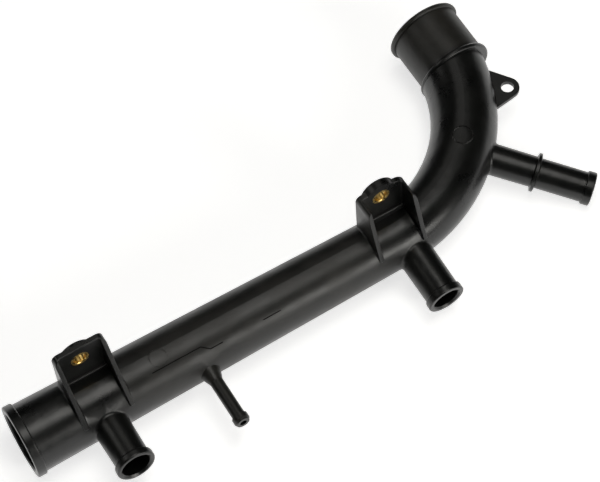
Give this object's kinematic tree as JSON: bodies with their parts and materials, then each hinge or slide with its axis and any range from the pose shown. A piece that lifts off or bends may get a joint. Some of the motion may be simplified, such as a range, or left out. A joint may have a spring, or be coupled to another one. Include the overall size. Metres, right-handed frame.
{
  "type": "coolant pipe",
  "caption": "Moulded plastic engine coolant pipe: a tube with a bend to a large hose spigot, side hose stubs, a vent stub and bolt brackets with brass sleeves.",
  "frame": {"origin": "midway between the axes of the two bracket bolts, on the plane of the boss faces that meet the engine", "axes": "+X along the straight tube from its open end towards the bend, +Y out of the boss faces towards the engine, which is also the way the large spigot points, +Z from the tube up to the bracket bolts"},
  "size_m": [0.3249, 0.1514, 0.0637],
  "materials": {
    "moulded_plastic": "semi-gloss black, glass-filled",
    "brass_sleeve": "turned"
  },
  "bodies": {
    "root": {"pipe_body": "moulded_plastic", "lower_bracket_sleeve": "brass_sleeve", "upper_bracket_sleeve": "brass_sleeve"}
  },
  "joints": []
}
